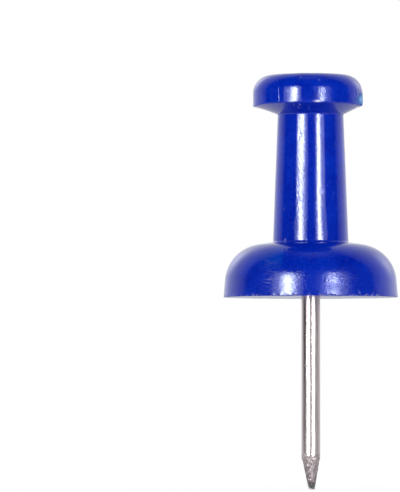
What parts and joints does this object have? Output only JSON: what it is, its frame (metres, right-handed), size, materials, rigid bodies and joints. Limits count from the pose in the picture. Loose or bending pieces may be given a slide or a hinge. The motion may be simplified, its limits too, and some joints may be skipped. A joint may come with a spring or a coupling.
{
  "type": "push pin",
  "caption": "Push pin with a spool-shaped moulded plastic head on a ground steel pin, pressed by hand into a board to hold paper.",
  "frame": {"origin": "on the pin's axis, at the flat underside of the flange, where the head comes to rest on a board", "axes": "+Z along the pin's axis from the point to the cap; X and Y are equal, because both pieces are round"},
  "size_m": [0.01, 0.01, 0.0237],
  "materials": {
    "blue_plastic": "glossy injection-moulded plastic, coloured through, in a deep royal blue",
    "plated_steel": "bright nickel-plated drawn steel wire, with a coarsely ground point"
  },
  "bodies": {
    "root": {"plastic_head": "blue_plastic", "steel_pin": "plated_steel"}
  },
  "joints": []
}
